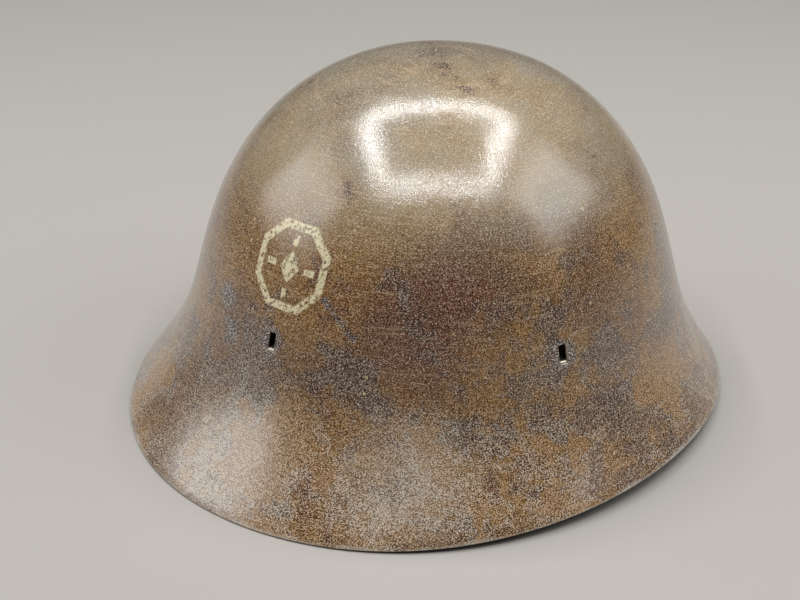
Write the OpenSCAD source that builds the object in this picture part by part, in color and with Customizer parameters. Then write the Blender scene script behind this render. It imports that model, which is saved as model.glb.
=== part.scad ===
// Bell-shaped steel civil defence helmet with its head liner.
// Millimetres. The front of the helmet faces -Y, the wearer's left is +X and up is +Z.
// The origin lies under the middle of the rim, on the surface that the rim stands on.
// Angles round the helmet run from the front, over the wearer's left, to the rear.

/* [Shell] */
// Length of the rim, front to rear
rim_length = 300; // [288:1:312]
// Width of the rim, side to side
rim_width = 273; // [262:1:285]
// Height of the crown above the rim's outer edge
crown_height = 161; // [154:1:170]
// Length of the wall at the wall level
wall_length = 222; // [214:1:232]
// Width of the wall at the wall level
wall_width = 219; // [212:1:228]
// Height at which the wall's length and width are taken
wall_level = 55; // [52:1:58]
// Thickness of the pressed steel sheet
sheet = 1; // [0.8:0.1:1.4]
// Height at which the wall turns out into the flare
flare_level = 36.5; // [32:0.5:40]
// Softness of the bend between wall and flare
flare_bend = 12; // [8:0.5:16]
// How far the sides of the rim rise above its front and rear
rim_arch = 6.3; // [0:0.1:9]
// How far the dome is set back from the middle of the rim
dome_setback = 5.5; // [0:0.5:9]

/* [Slots and tabs] */
// Height of the middle of the slots
slot_level = 65.5; // [63:0.5:70]
// Width of each slot
slot_width = 3.5; // [3:0.1:5]
// Height of each slot
slot_height = 7; // [6:0.5:9]
// Angle from the front slot to each side slot
side_slot_angle = 67; // [62:1:72]
// Angle from the front slot to each rear slot
rear_slot_angle = 142; // [136:1:148]

/* [Liner] */
// Diameter of the hoop's wire
hoop_wire = 2.6; // [2:0.1:3.2]
// Radial distance from the hoop's wire to the outside of the sweatband
hanger_reach = 11.5; // [9.5:0.5:13]
// Height of the sweatband
band_height = 38; // [30:1:42]
// How far the sweatband reaches above the hoop
band_above_hoop = 18; // [15:1:20]
// Thickness of the sweatband's leather
band_leather = 2; // [1.4:0.1:2.5]
// Width of each hanger strap
hanger_width = 14; // [10:1:16]
// Thickness of the hanger straps' leather
hanger_leather = 1.3; // [1:0.1:1.6]
// Thickness of the crown tongues' leather
tongue_leather = 1.6; // [1:0.1:2]
// Rise of the tongues from the sweatband to the crown cord
tongue_rise = 58; // [50:1:62]
// Width of each tongue at its tip
tongue_tip_width = 19; // [14:1:20]
// Radius of the ring that the crown cord draws the tongues into
cord_ring_radius = 26; // [25:1:34]
// Diameter of the crown cord
cord_thickness = 3; // [2:0.1:3.4]
// Width of each felt pad
pad_width = 50; // [36:1:56]
// Height of each felt pad
pad_height = 16; // [12:1:18]

/* [Chin tape rings] */
// Diameter of the D-rings' wire
dee_wire = 3; // [2.4:0.1:3.4]
// Width of each D-ring between the middles of its corners
dee_width = 23; // [20:1:26]
// Drop from the hoop's wire to the D-ring's bar
dee_drop = 7; // [6.5:0.5:9]
// Width of the steel clip that holds each D-ring
clip_width = 12; // [9:1:14]
// Thickness of the clip's steel strip
clip_sheet = 0.8; // [0.6:0.1:1]

/* [Hidden] */
$fn = 48;

// Clearance between pieces that are gripped or sewn to each other
snug = 0.1;
// Clearance of the felt pads
pad_clearance = 0.4;
// Height at which the dome's curve is at its widest, just under the rim
dome_foot = -crown_height / 30;
// Power of the dome's shoulder: a higher one keeps the wall upright for longer
shoulder = 2.9;
// Power of the crown: 2 is an ellipsoid and a higher one is flatter on top
crown_power = 2.24;
// Power of the plan outline: 2 is an ellipse
plan_power = 2.03;
// Power of the rim's arch along the sides
arch_power = 4;

// Points round each ring of the shell, and rings from the crown to the rim
shell_points = 72;
shell_rings = 30;
// How strongly the rings crowd together in the flare
ring_crowding = 0.4;

steel_paint = "#6e5b41";
bare_steel = "#8d8a84";
tan_leather = "#a1703f";
dark_leather = "#6d4527";
grey_felt = "#85827b";
cotton = "#c9bd9c";

// Shape of the shell. The dome narrows to nothing at the crown, and the flare is added to it.
function dome(z) =
    pow(max(0, 1 - pow((z - dome_foot) / (crown_height - dome_foot), shoulder)), 1 / crown_power);
function bend_curve(z) = (flare_level - z + sqrt(pow(flare_level - z, 2) + 4 * pow(flare_bend, 2))) / 2;
function flare(z) = (bend_curve(z) - bend_curve(crown_height)) / (bend_curve(0) - bend_curve(crown_height));
function half_size(z, rim, wall) =
    let (at_rim = wall * dome(0) / dome(wall_level))
    (wall * dome(z) / dome(wall_level) + (rim - at_rim) * flare(z)) / 2;
function half_length(z) = half_size(z, rim_length, wall_length);
function half_width(z) = half_size(z, rim_width, wall_width);
function setback(z) = dome_setback * (1 - flare(z));
function plan(t) = pow(pow(abs(cos(t)), plan_power) + pow(abs(sin(t)), plan_power), -1 / plan_power);
function ring_z(u) = crown_height * (1 - u * u) * (1 - ring_crowding * u);

// A point of the outer skin: u runs from 0 at the crown to 1 at the rim, t is the angle from the front
function skin(u, t) =
    let (z = ring_z(u))
    [
        half_width(z) * sin(t) * plan(t),
        setback(z) - half_length(z) * cos(t) * plan(t),
        z + rim_arch * flare(z) * pow(sin(t), arch_power)
    ];
function unit(v) = v / norm(v);
function skin_normal(u, t) = unit(cross(skin(u + 0.002, t) - skin(u - 0.002, t), skin(u, t + 0.5) - skin(u, t - 0.5)));

// The sheet is cut square, so its inner edge is the one that touches the ground
lift = sheet * skin_normal(1, 0).z;

function outer_point(u, t) = skin(u, t) + [0, 0, lift];
function inner_point(u, t) = outer_point(u, t) - sheet * skin_normal(u, t);

// Places that hang together: the tabs leave the bottom edge of the slots and grip the hoop below it
slot_angles = [0, side_slot_angle, rear_slot_angle, -rear_slot_angle, -side_slot_angle];
slot_bottom = slot_level - slot_height / 2;
wire_r = hoop_wire / 2;
hoop_z = slot_bottom - sheet - snug - wire_r;
liner_y = setback(hoop_z - lift);

// Distance from the liner's axis to the wall's outside and inside, in the direction t at height z
function wall_r(t, z) =
    pow(pow(abs(sin(t)) / half_width(z - lift), plan_power)
        + pow(abs(cos(t)) / half_length(z - lift), plan_power), -1 / plan_power);
function inside_r(t, z) = wall_r(t, z) - 1.05 * sheet;

// The liner is a slightly oval ring inside the wall: hoop_r is its half width at the hoop's wire,
// and liner_oval is its length over its width. The hanger straps pass between the wire and the wall.
strap_r = wire_r + snug + hanger_leather;
hoop_r = inside_r(90, hoop_z + strap_r) - strap_r - snug;
liner_oval = (inside_r(0, hoop_z + strap_r) - strap_r - snug) / hoop_r;

hanger_angles = [34, 108, 162, -162, -108, -34];
tongue_angles = [30, 90, 150, -150, -90, -30];
pad_angles = [34, 180, -34];
dee_angles = [90, 180, -90];
ferrule_angle = 125;

band_out = hoop_r - wire_r - hanger_reach + snug;
band_in = band_out - band_leather;
band_top = hoop_z + band_above_hoop;
band_bottom = band_top - band_height;
band_slit = 0.6;
rivet_drop = 8.5;
rivet_margin = 6;
rivet_shank_r = 1.5;
rivet_head_r = 3.6;
rivet_flat_head = 0.7;
rivet_domed_head = 1.5;
rivet_z = hoop_z - rivet_drop;
hanger_bottom = rivet_z - rivet_margin;
hanger_in = band_out + snug;
hanger_out = hanger_in + 2 * hanger_leather;

tongue_lap = 11;
tongue_stand = 1;
tongue_half_angle = 28;
across_steps = 8;
// The tongues are flat between their points, so the middle of each flat is what clears the sweatband
tongue_in = (band_out + snug) / cos(tongue_half_angle / across_steps);
tongue_start = band_top - tongue_stand;
// Power of the tongues' taper: a higher one draws them in sooner
tongue_waist = 1.5;
sweep_steps = 14;
hem_steps = 7;
cord_r = cord_thickness / 2;
hem_r = cord_r + 2 * snug;
cord_z = tongue_start + tongue_rise - hem_r;
cord_knot_r = 1.9 * cord_r;
ferrule_length = 15;
ferrule_wall = 0.7;
pad_lift = 1.5;
pad_bottom = hoop_z + strap_r + pad_lift - snug;
bar_z = hoop_z - dee_drop;
bar_r = dee_wire / 2;
dee_r = dee_width / 2;

function degrees_of(width, r) = 360 * width / (2 * PI * r);

// The two triangles of a four-sided face
function quad(a, b, c, d) = [[a, b, c], [a, c, d]];

// Turns a sub-part that is drawn in the direction +X to the angle t, about the liner's axis
module at(t) {
    translate([0, liner_y, 0]) rotate([0, 0, t - 90]) children();
}

// A swept solid that follows the liner's oval, as wide as the angle and centred on the angle t
module sweep(t, angle = 360) {
    translate([0, liner_y, 0]) scale([1, liner_oval, 1]) rotate([0, 0, t - 90 - angle / 2])
        rotate_extrude(angle = angle, $fn = 144) children();
}

// Moves a sub-part that is drawn along +X to the oval of half width r, square to it
module square_to_oval(t, r) {
    translate([r * sin(t), liner_y - liner_oval * r * cos(t), 0])
        rotate([0, 0, atan2(-cos(t), liner_oval * sin(t))]) children();
}

// Half width of the largest of the liner's ovals that the wall leaves room for at height z
function inside_oval(z) = min(inside_r(90, z), inside_r(0, z) / liner_oval);

// Distance from the liner's axis to the hoop's wire, in the direction t
function hoop_reach(t) = hoop_r / sqrt(pow(sin(t), 2) + pow(cos(t) / liner_oval, 2));

// The pressed bowl: an outer and an inner skin joined along the rim
module bowl() {
    n = shell_points;
    last = shell_rings;
    ring_points = [for (u = [1:last], i = [0:n - 1]) outer_point(u / last, 360 * i / n)];
    inner_points = [for (u = [1:last], i = [0:n - 1]) inner_point(u / last, 360 * i / n)];
    crown = [0, setback(crown_height), crown_height + lift];
    points = concat([crown], ring_points, [crown - [0, 0, sheet]], inner_points);
    inner = 1 + n * last;
    function outer_at(ring, i) = 1 + ring * n + i % n;
    function inner_at(ring, i) = inner + outer_at(ring, i);
    quads = concat(
        [for (ring = [0:last - 2], i = [0:n - 1])
            quad(outer_at(ring, i), outer_at(ring, i + 1), outer_at(ring + 1, i + 1), outer_at(ring + 1, i))],
        [for (ring = [0:last - 2], i = [0:n - 1])
            quad(inner_at(ring, i), inner_at(ring + 1, i), inner_at(ring + 1, i + 1), inner_at(ring, i + 1))],
        [for (i = [0:n - 1])
            quad(outer_at(last - 1, i), outer_at(last - 1, i + 1), inner_at(last - 1, i + 1), inner_at(last - 1, i))]
    );
    faces = concat(
        [for (i = [0:n - 1]) [0, outer_at(0, i + 1), outer_at(0, i)]],
        [for (i = [0:n - 1]) [inner, inner_at(0, i), inner_at(0, i + 1)]],
        [for (q = quads) each q]
    );
    polyhedron(points = points, faces = faces, convexity = 6);
}

// The tongue of sheet cut out of a slot, bent inwards at the slot's bottom edge and curled round the hoop
module tab(t) {
    width = slot_width - 3 * snug;
    grip_r = wire_r + snug;
    root = wall_r(t, slot_bottom) - sheet / 2;
    grip = hoop_reach(t);
    at(t) translate([0, width / 2, 0]) rotate([90, 0, 0]) linear_extrude(width) {
        translate([grip, slot_bottom - sheet]) square([root - grip, sheet]);
        translate([grip, hoop_z]) intersection() {
            difference() {
                circle(r = grip_r + sheet);
                circle(r = grip_r);
            }
            translate([-grip_r - sheet, -grip_r - sheet]) square([grip_r + sheet, 2 * (grip_r + sheet)]);
        }
    }
}

module slot(t) {
    depth = 12 * sheet;
    at(t) translate([wall_r(t, slot_level) - depth / 2, -slot_width / 2, slot_bottom])
        cube([depth, slot_width, slot_height]);
}

module shell() {
    color(steel_paint) {
        difference() {
            bowl();
            for (t = slot_angles) slot(t);
        }
        for (t = slot_angles) tab(t);
    }
}

// The wire follows the liner's oval, and its two ends meet inside the ferrule
module liner_hoop() {
    rounds = 96;
    sides = 10;
    points = [for (i = [0:rounds - 1], j = [0:sides - 1])
        let (a = 360 * i / rounds, b = 360 * j / sides, r = hoop_r + wire_r * cos(b))
        [r * cos(a), liner_y + liner_oval * r * sin(a), hoop_z + wire_r * sin(b)]];
    function at_ring(i, j) = (i % rounds) * sides + j % sides;
    quads = [for (i = [0:rounds - 1], j = [0:sides - 1])
        quad(at_ring(i, j), at_ring(i, j + 1), at_ring(i + 1, j + 1), at_ring(i + 1, j))];
    color(bare_steel) polyhedron(points = points, faces = [for (q = quads) each q], convexity = 6);
}

module hoop_ferrule() {
    color(bare_steel) sweep(ferrule_angle, degrees_of(ferrule_length, hoop_r))
        translate([hoop_r, hoop_z]) difference() {
            circle(r = wire_r + snug / 2 + ferrule_wall);
            circle(r = wire_r + snug / 2);
        }
}

module rivet_hole(t) {
    depth = 2 * (hanger_out - band_in);
    square_to_oval(t, band_in) translate([-depth / 4, 0, rivet_z]) rotate([0, 90, 0])
        cylinder(r = rivet_shank_r + snug, h = depth);
}

module sweatband() {
    color(dark_leather) difference() {
        sweep(180) translate([band_in, band_bottom]) square([band_leather, band_height]);
        square_to_oval(180, band_in) translate([-band_leather, -band_slit / 2, band_bottom - 1])
            cube([3 * band_leather, band_slit, band_height + 2]);
        for (t = hanger_angles) rivet_hole(t);
    }
}

// A leather strap folded round the hoop, its two ends lying on the sweatband
module hanger(t) {
    bore = wire_r + snug;
    color(tan_leather) difference() {
        sweep(t, degrees_of(hanger_width, hoop_r)) difference() {
            union() {
                translate([hoop_r, hoop_z]) circle(r = bore + hanger_leather);
                translate([hanger_in, hoop_z - hanger_leather])
                    square([hoop_r - hanger_in, 2 * hanger_leather]);
                translate([hanger_in, hanger_bottom])
                    square([2 * hanger_leather, hoop_z + hanger_leather - hanger_bottom]);
            }
            translate([hoop_r, hoop_z]) circle(r = bore);
        }
        rivet_hole(t);
    }
}

module hanger_rivets() {
    // The flat heads stand clear of the curved leather by a little more than its bulge
    inner = -2 * snug;
    outer = hanger_out - band_in + 2 * snug;
    color(bare_steel) for (t = hanger_angles)
        square_to_oval(t, band_in) translate([0, 0, rivet_z]) rotate([0, 90, 0]) rotate_extrude() polygon([
            [0, inner - rivet_flat_head], [0.86 * rivet_head_r, inner - rivet_flat_head],
            [rivet_head_r, inner - 0.4 * rivet_flat_head], [rivet_head_r, inner],
            [rivet_shank_r, inner], [rivet_shank_r, outer],
            [rivet_head_r, outer], [0.92 * rivet_head_r, outer + 0.45 * rivet_domed_head],
            [0.5 * rivet_head_r, outer + 0.87 * rivet_domed_head], [0, outer + rivet_domed_head]
        ]);
}

// Side view of a tongue's under face, as points and outward directions: a lap on the sweatband,
// an oval sweep to the crown, and a hem rolled round the cord
function tongue_path() =
    let (reach = tongue_in - cord_ring_radius)
    concat(
        [[[tongue_in, band_top - tongue_lap], [1, 0]]],
        [for (i = [0:sweep_steps]) let (a = 90 * i / sweep_steps) [
            [cord_ring_radius + reach * cos(a), tongue_start + tongue_rise * sin(a)],
            unit([cos(a) / reach, sin(a) / tongue_rise])
        ]],
        [for (i = [1:hem_steps]) let (a = 90 + 240 * i / hem_steps) [
            [cord_ring_radius + hem_r * cos(a), cord_z + hem_r * sin(a)],
            [cos(a), sin(a)]
        ]]
    );

// Half width of a tongue at the radius r: wide along the sweatband and drawn in towards the cord
function tongue_half_width(r) =
    let (
        share = max(0, r - cord_ring_radius) / (tongue_in - cord_ring_radius),
        base = tongue_in * sin(tongue_half_angle)
    )
    tongue_tip_width / 2 + (base - tongue_tip_width / 2) * pow(share, tongue_waist);

// One face of a tongue: each row of points runs across it, at the distance out from its under face
function tongue_face(out) = [
    for (step = tongue_path())
        let (place = step[0] + out * step[1], edge = asin(tongue_half_width(step[0].x) / step[0].x))
        [for (j = [0:across_steps])
            let (a = edge * (2 * j / across_steps - 1)) [place.x * cos(a), place.x * sin(a), place.y]]
];

// A closed solid between two faces that are given as rows of points
module between(under, over) {
    cols = len(under[0]);
    rows = len(under);
    size = rows * cols;
    function low(i, j) = i * cols + j;
    function high(i, j) = size + low(i, j);
    quads = concat(
        [for (i = [0:rows - 2], j = [0:cols - 2]) quad(low(i, j), low(i, j + 1), low(i + 1, j + 1), low(i + 1, j))],
        [for (i = [0:rows - 2], j = [0:cols - 2]) quad(high(i, j), high(i + 1, j), high(i + 1, j + 1), high(i, j + 1))],
        [for (i = [0:rows - 2]) quad(low(i, 0), low(i + 1, 0), high(i + 1, 0), high(i, 0))],
        [for (i = [0:rows - 2]) quad(low(i, cols - 1), high(i, cols - 1), high(i + 1, cols - 1), low(i + 1, cols - 1))],
        [for (j = [0:cols - 2]) quad(low(0, j), high(0, j), high(0, j + 1), low(0, j + 1))],
        [for (j = [0:cols - 2]) quad(low(rows - 1, j), low(rows - 1, j + 1), high(rows - 1, j + 1), high(rows - 1, j))]
    );
    polyhedron(
        points = concat([for (row = under) each row], [for (row = over) each row]),
        faces = [for (q = quads) each q],
        convexity = 6
    );
}

module tongue(t) {
    color(tan_leather) translate([0, liner_y, 0]) scale([1, liner_oval, 1]) rotate([0, 0, t - 90])
        between(tongue_face(0), tongue_face(tongue_leather));
}

// The cord closes in a ring and is knotted in the gap between the two front tongues
module crown_cord() {
    color(cotton) {
        sweep(0) translate([cord_ring_radius, cord_z]) circle(r = cord_r, $fn = 32);
        square_to_oval(0, cord_ring_radius) translate([0, 0, cord_z]) sphere(r = cord_knot_r, $fn = 32);
    }
}

module pad(t) {
    inner = tongue_in + tongue_leather + pad_clearance;
    pad_top = pad_bottom + pad_height;
    low = inside_oval(pad_bottom) - pad_clearance;
    high = inside_oval(pad_top) - pad_clearance;
    color(grey_felt) sweep(t, degrees_of(pad_width, hoop_r)) polygon([
        [inner, pad_bottom], [low, pad_bottom], [high, pad_top], [inner, pad_top]
    ]);
}

// A steel strip closed round the hoop above and round the D-ring's bar below
module clip(t) {
    wire_bore = wire_r + snug;
    bar_bore = bar_r + snug;
    color(bare_steel) difference() {
        sweep(t, degrees_of(clip_width, hoop_r)) difference() {
            union() {
                translate([hoop_r, hoop_z]) circle(r = wire_bore + clip_sheet);
                translate([hoop_r - clip_sheet, bar_z]) square([2 * clip_sheet, dee_drop]);
                translate([hoop_r, bar_z]) circle(r = bar_bore + clip_sheet);
            }
            translate([hoop_r, hoop_z]) circle(r = wire_bore);
        }
        square_to_oval(t, hoop_r) translate([0, 0, bar_z]) rotate([90, 0, 0])
            cylinder(r = bar_bore, h = 2 * clip_width, center = true);
    }
}

// A straight bar and a half ring of wire that hangs below it
module dee_ring(t) {
    color(bare_steel) square_to_oval(t, hoop_r) translate([0, 0, bar_z]) {
        rotate([90, 0, 0]) cylinder(r = bar_r, h = dee_width, center = true);
        rotate([-90, 0, 90]) rotate_extrude(angle = 180) translate([dee_r, 0]) circle(r = bar_r, $fn = 32);
        for (side = [-1, 1]) translate([0, side * dee_r, 0]) sphere(r = bar_r, $fn = 32);
    }
}

shell();
liner_hoop();
hoop_ferrule();
sweatband();
hanger(hanger_angles[0]);  // hanger_front_left
hanger(hanger_angles[1]);  // hanger_side_left
hanger(hanger_angles[2]);  // hanger_rear_left
hanger(hanger_angles[3]);  // hanger_rear_right
hanger(hanger_angles[4]);  // hanger_side_right
hanger(hanger_angles[5]);  // hanger_front_right
hanger_rivets();
tongue(tongue_angles[0]);  // tongue_front_left
tongue(tongue_angles[1]);  // tongue_side_left
tongue(tongue_angles[2]);  // tongue_rear_left
tongue(tongue_angles[3]);  // tongue_rear_right
tongue(tongue_angles[4]);  // tongue_side_right
tongue(tongue_angles[5]);  // tongue_front_right
crown_cord();
pad(pad_angles[0]);  // pad_front_left
pad(pad_angles[1]);  // pad_rear
pad(pad_angles[2]);  // pad_front_right
clip(dee_angles[0]);  // clip_left
clip(dee_angles[1]);  // clip_rear
clip(dee_angles[2]);  // clip_right
dee_ring(dee_angles[0]);  // dee_ring_left
dee_ring(dee_angles[1]);  // dee_ring_rear
dee_ring(dee_angles[2]);  // dee_ring_right
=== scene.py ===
from functools import partial
from math import asin, atan2, cos, degrees, exp, pi, radians, sin, sqrt

import bpy
from mathutils import Matrix, Vector, noise


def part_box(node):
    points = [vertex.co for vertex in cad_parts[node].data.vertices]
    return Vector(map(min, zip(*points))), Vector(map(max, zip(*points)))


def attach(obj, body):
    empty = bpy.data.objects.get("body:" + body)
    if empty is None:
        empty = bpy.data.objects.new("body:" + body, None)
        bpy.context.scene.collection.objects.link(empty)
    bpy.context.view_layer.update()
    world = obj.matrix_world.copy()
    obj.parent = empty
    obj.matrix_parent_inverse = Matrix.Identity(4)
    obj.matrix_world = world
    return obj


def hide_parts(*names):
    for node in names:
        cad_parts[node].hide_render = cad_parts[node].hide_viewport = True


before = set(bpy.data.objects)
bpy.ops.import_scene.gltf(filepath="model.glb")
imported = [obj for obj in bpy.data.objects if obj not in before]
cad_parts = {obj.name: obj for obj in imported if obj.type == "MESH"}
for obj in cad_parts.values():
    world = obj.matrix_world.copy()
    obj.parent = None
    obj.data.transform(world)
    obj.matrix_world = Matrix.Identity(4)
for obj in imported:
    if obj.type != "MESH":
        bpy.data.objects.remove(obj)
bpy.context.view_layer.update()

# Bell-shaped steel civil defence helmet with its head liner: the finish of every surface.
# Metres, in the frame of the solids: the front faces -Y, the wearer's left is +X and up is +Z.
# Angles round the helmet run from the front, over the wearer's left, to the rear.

MM = 0.001
TURN = 2 * pi

# Sizes of the shell, taken from the frame, and the powers of its curves
SHELL_LOW, SHELL_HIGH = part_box("shell")
SHEET = 1.0 * MM
RIM_LENGTH = SHELL_HIGH.y - SHELL_LOW.y
RIM_WIDTH = SHELL_HIGH.x - SHELL_LOW.x
RIM_LIFT = 0.7 * MM
CROWN_HEIGHT = SHELL_HIGH.z - RIM_LIFT
WALL_LENGTH = 222 * MM
WALL_WIDTH = 219 * MM
WALL_LEVEL = 55 * MM
FLARE_LEVEL = 36.5 * MM
FLARE_BEND = 12 * MM
RIM_ARCH = 6.3 * MM
DOME_SETBACK = 5.5 * MM
DOME_FOOT = -CROWN_HEIGHT / 30
SHOULDER = 2.9
CROWN_POWER = 2.24
PLAN_POWER = 2.03
ARCH_POWER = 4
RING_CROWDING = 0.4

# Slots in the wall, and the tabs bent out of them
SLOT_LEVEL = 65.5 * MM
SLOT_WIDTH = 3.5 * MM
SLOT_HEIGHT = 7 * MM
SLOT_BOTTOM = SLOT_LEVEL - SLOT_HEIGHT / 2
SLOT_ANGLES = {"front": 0, "side_left": 67, "rear_left": 142, "rear_right": -142, "side_right": -67}

# Sizes of the liner, taken from the frame
HOOP_LOW, HOOP_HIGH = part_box("liner_hoop")
BAND_LOW, BAND_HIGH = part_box("sweatband")
WIRE_R = 1.3 * MM
HOOP_R = (HOOP_HIGH.x - HOOP_LOW.x) / 2 - WIRE_R
LINER_OVAL = (HOOP_HIGH.y - HOOP_LOW.y) / (HOOP_HIGH.x - HOOP_LOW.x)
LINER_Y = (HOOP_HIGH.y + HOOP_LOW.y) / 2
HOOP_Z = (HOOP_HIGH.z + HOOP_LOW.z) / 2
BAND_LEATHER = 2 * MM
BAND_OUT = (BAND_HIGH.x - BAND_LOW.x) / 2
BAND_IN = BAND_OUT - BAND_LEATHER
BAND_TOP = BAND_HIGH.z
BAND_BOTTOM = BAND_LOW.z
BAND_SLIT = 0.6 * MM
SNUG = 0.1 * MM
HANGER_ANGLES = {
    "front_left": 34, "side_left": 108, "rear_left": 162,
    "rear_right": -162, "side_right": -108, "front_right": -34,
}
HANGER_WIDTH = 14 * MM
HANGER_LEATHER = 1.3 * MM
HANGER_IN = BAND_OUT + SNUG
RIVET_Z = HOOP_Z - 8.5 * MM
RIVET_HEAD_R = 3.6 * MM
TONGUE_ANGLES = {
    "front_left": 30, "side_left": 90, "rear_left": 150,
    "rear_right": -150, "side_right": -90, "front_right": -30,
}
TONGUE_LEATHER = 1.6 * MM
TONGUE_IN = BAND_OUT + 0.3 * MM
TONGUE_LAP = 11 * MM
TONGUE_START = BAND_TOP - 1 * MM
TONGUE_RISE = 58 * MM
TONGUE_HALF_ANGLE = radians(28)
TONGUE_TIP = 19 * MM
TONGUE_WAIST = 1.5
CORD_RING_R = 26 * MM
CORD_R = 1.5 * MM
HEM_R = CORD_R + 2 * SNUG
CORD_Z = TONGUE_START + TONGUE_RISE - HEM_R
PAD_ANGLES = {"front_left": 34, "rear": 180, "front_right": -34}

# Chin tape rings
DEE_LOW, DEE_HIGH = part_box("dee_ring_left")
DEE_ANGLES = {"left": 90, "rear": 180, "right": -90}
BAR_R = 1.5 * MM
BAR_Z = DEE_HIGH.z - BAR_R
DEE_R = (DEE_HIGH.y - DEE_LOW.y) / 2 - BAR_R
CLIP_WIDTH = 12 * MM
CLIP_SHEET = 0.8 * MM


# Shape of the shell. The dome narrows to nothing at the crown, and the flare is added to it.
def dome(z):
    share = (z - DOME_FOOT) / (CROWN_HEIGHT - DOME_FOOT)
    return max(0.0, 1 - share ** SHOULDER) ** (1 / CROWN_POWER)


def bend_curve(z):
    below = FLARE_LEVEL - z
    return (below + sqrt(below ** 2 + 4 * FLARE_BEND ** 2)) / 2


def flare(z):
    top = bend_curve(CROWN_HEIGHT)
    return (bend_curve(z) - top) / (bend_curve(0) - top)


def half_size(z, rim, wall):
    at_rim = wall * dome(0) / dome(WALL_LEVEL)
    return (wall * dome(z) / dome(WALL_LEVEL) + (rim - at_rim) * flare(z)) / 2


def plan(t):
    return (abs(cos(t)) ** PLAN_POWER + abs(sin(t)) ** PLAN_POWER) ** (-1 / PLAN_POWER)


def skin(u, t):
    """A point of the shell's outer skin: u runs from 0 at the crown to 1 at the rim."""
    z = CROWN_HEIGHT * (1 - u * u) * (1 - RING_CROWDING * u)
    return Vector((
        half_size(z, RIM_WIDTH, WALL_WIDTH) * sin(t) * plan(t),
        DOME_SETBACK * (1 - flare(z)) - half_size(z, RIM_LENGTH, WALL_LENGTH) * cos(t) * plan(t),
        z + RIM_ARCH * flare(z) * sin(t) ** ARCH_POWER + RIM_LIFT,
    ))


def wall_r(t, z):
    """Distance from the liner's axis to the wall's outside, in the direction t at height z."""
    low = z - RIM_LIFT
    across = abs(sin(t)) / half_size(low, RIM_WIDTH, WALL_WIDTH)
    along = abs(cos(t)) / half_size(low, RIM_LENGTH, WALL_LENGTH)
    return (across ** PLAN_POWER + along ** PLAN_POWER) ** (-1 / PLAN_POWER)


def around(t, r, z):
    """A point at the radius r from the liner's axis."""
    return Vector((r * sin(t), LINER_Y - r * cos(t), z))


def on_oval(t, r, z):
    """A point on the liner's oval that is r wide."""
    return Vector((r * sin(t), LINER_Y - LINER_OVAL * r * cos(t), z))


def square_to_oval(t, r, z):
    """Moves what is drawn along +X to the liner's oval that is r wide, square to it."""
    heading = atan2(-cos(t), LINER_OVAL * sin(t))
    return Matrix.Translation(on_oval(t, r, z)) @ Matrix.Rotation(heading, 4, "Z")


def hoop_reach(t):
    """Distance from the liner's axis to the hoop's wire, in the direction t."""
    return HOOP_R / sqrt(sin(t) ** 2 + (cos(t) / LINER_OVAL) ** 2)


# Ways of making a piece
def select_only(*objects):
    for obj in bpy.context.selected_objects:
        obj.select_set(False)
    for obj in objects:
        obj.select_set(True)
    if objects:
        bpy.context.view_layer.objects.active = objects[0]


def named(obj, name):
    obj.name = obj.data.name = name
    return obj


def primitive(name, kind, **settings):
    select_only()
    getattr(bpy.ops.mesh, f"primitive_{kind}_add")(**settings)
    return named(bpy.context.object, name)


def edit(obj, *steps):
    """Runs the steps, each an operator and its settings, on all of obj in edit mode."""
    select_only(obj)
    bpy.ops.object.mode_set(mode="EDIT")
    bpy.ops.mesh.select_all(action="SELECT")
    for operator, settings in steps:
        operator(**settings)
    bpy.ops.object.mode_set(mode="OBJECT")
    return obj


# Points closer than this belong together
MERGE = (bpy.ops.mesh.remove_doubles, {"threshold": 0.005 * MM})


def closed(obj):
    """obj with its seams and poles merged, its holes filled and its faces pointing out."""
    return edit(
        obj,
        MERGE,
        (bpy.ops.mesh.fill_holes, {"sides": 0}),
        (bpy.ops.mesh.normals_make_consistent, {"inside": False}),
    )


def laid(name, across, along, place):
    """A sheet of across by along cells, each of whose points is laid where place says."""
    obj = primitive(name, "grid", x_subdivisions=across, y_subdivisions=along, size=1)
    for vertex in obj.data.vertices:
        vertex.co = place(vertex.co.x + 0.5, vertex.co.y + 0.5)
    return obj


def laid_along(name, path, across, place):
    """A sheet that follows the path's points: place gets the share across it and the path's point."""
    last = len(path) - 1
    return laid(name, across, last, lambda s, v: place(s, path[round(v * last)]))


def turned(name, profile, rounds):
    """A closed solid of revolution about X, from (distance along X, radius) points."""
    def place(s, point):
        return Vector((point[0], point[1] * cos(TURN * s), point[1] * sin(TURN * s)))
    return closed(laid_along(name, profile, rounds, place))


def modified(obj, kind, **settings):
    """obj with a modifier of that kind applied to it."""
    modifier = obj.modifiers.new(kind.title(), kind)
    for key, value in settings.items():
        setattr(modifier, key, value)
    select_only(obj)
    bpy.ops.object.modifier_apply(modifier=modifier.name)
    return obj


def thickened(obj, thickness, edge, offset=0.0, **settings):
    """A sheet given its thickness, half of it to each side unless offset says otherwise, and soft edges."""
    modified(obj, "SOLIDIFY", thickness=thickness, offset=offset, use_even_offset=True, **settings)
    return modified(obj, "BEVEL", width=edge, segments=2, limit_method="ANGLE", angle_limit=radians(50))


def joined(name, objects):
    select_only(*objects)
    bpy.ops.object.join()
    return named(objects[0], name)


def copied(name, obj, places):
    """One piece of as many copies of obj as there are places, each moved by its matrix; obj itself goes."""
    copies = []
    for place in places:
        copy = obj.copy()
        copy.data = obj.data.copy()
        copy.data.transform(place)
        bpy.context.scene.collection.objects.link(copy)
        copies.append(copy)
    bpy.data.objects.remove(obj)
    return joined(name, copies)


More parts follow.
